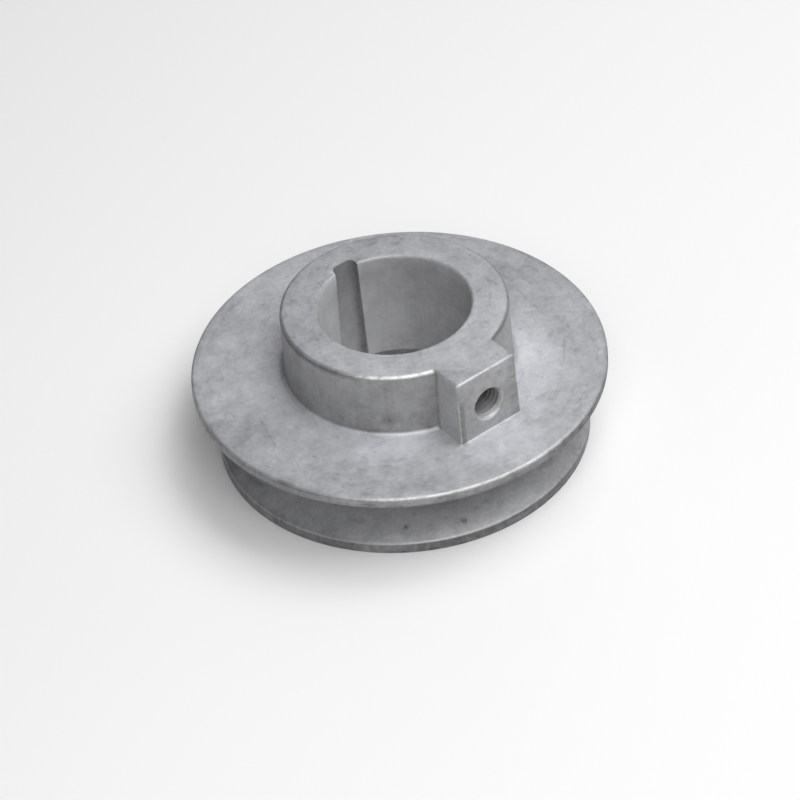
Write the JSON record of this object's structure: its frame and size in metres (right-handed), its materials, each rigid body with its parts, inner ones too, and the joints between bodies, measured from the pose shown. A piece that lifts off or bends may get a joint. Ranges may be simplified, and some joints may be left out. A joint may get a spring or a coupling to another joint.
{
  "type": "v belt pulley",
  "caption": "Die-cast single-groove V belt pulley with a raised keyed hub and a square side boss holding a set screw.",
  "frame": {"origin": "on the bore's axis, in the plane of the lower flange's underside, which the pulley rests on", "axes": "+Z along the bore towards the raised hub; -Y out of the set-screw boss; +Y towards the keyway, opposite the boss"},
  "size_m": [0.0606, 0.0606, 0.0233],
  "materials": {
    "cast_alloy": "as-cast, dull matt grey with fine pits and rubbed bright edges; bore sized smooth",
    "screw_steel": "black oxide"
  },
  "bodies": {
    "pulley": {"pulley_casting": "cast_alloy"},
    "screw": {"set_screw": "screw_steel"}
  },
  "joints": [
    {"name": "set_screw_travel", "type": "slide", "parent": "pulley", "child": "screw", "axis": [0, -1, 0], "range_m": [-0.0008, 0.004]}
  ]
}
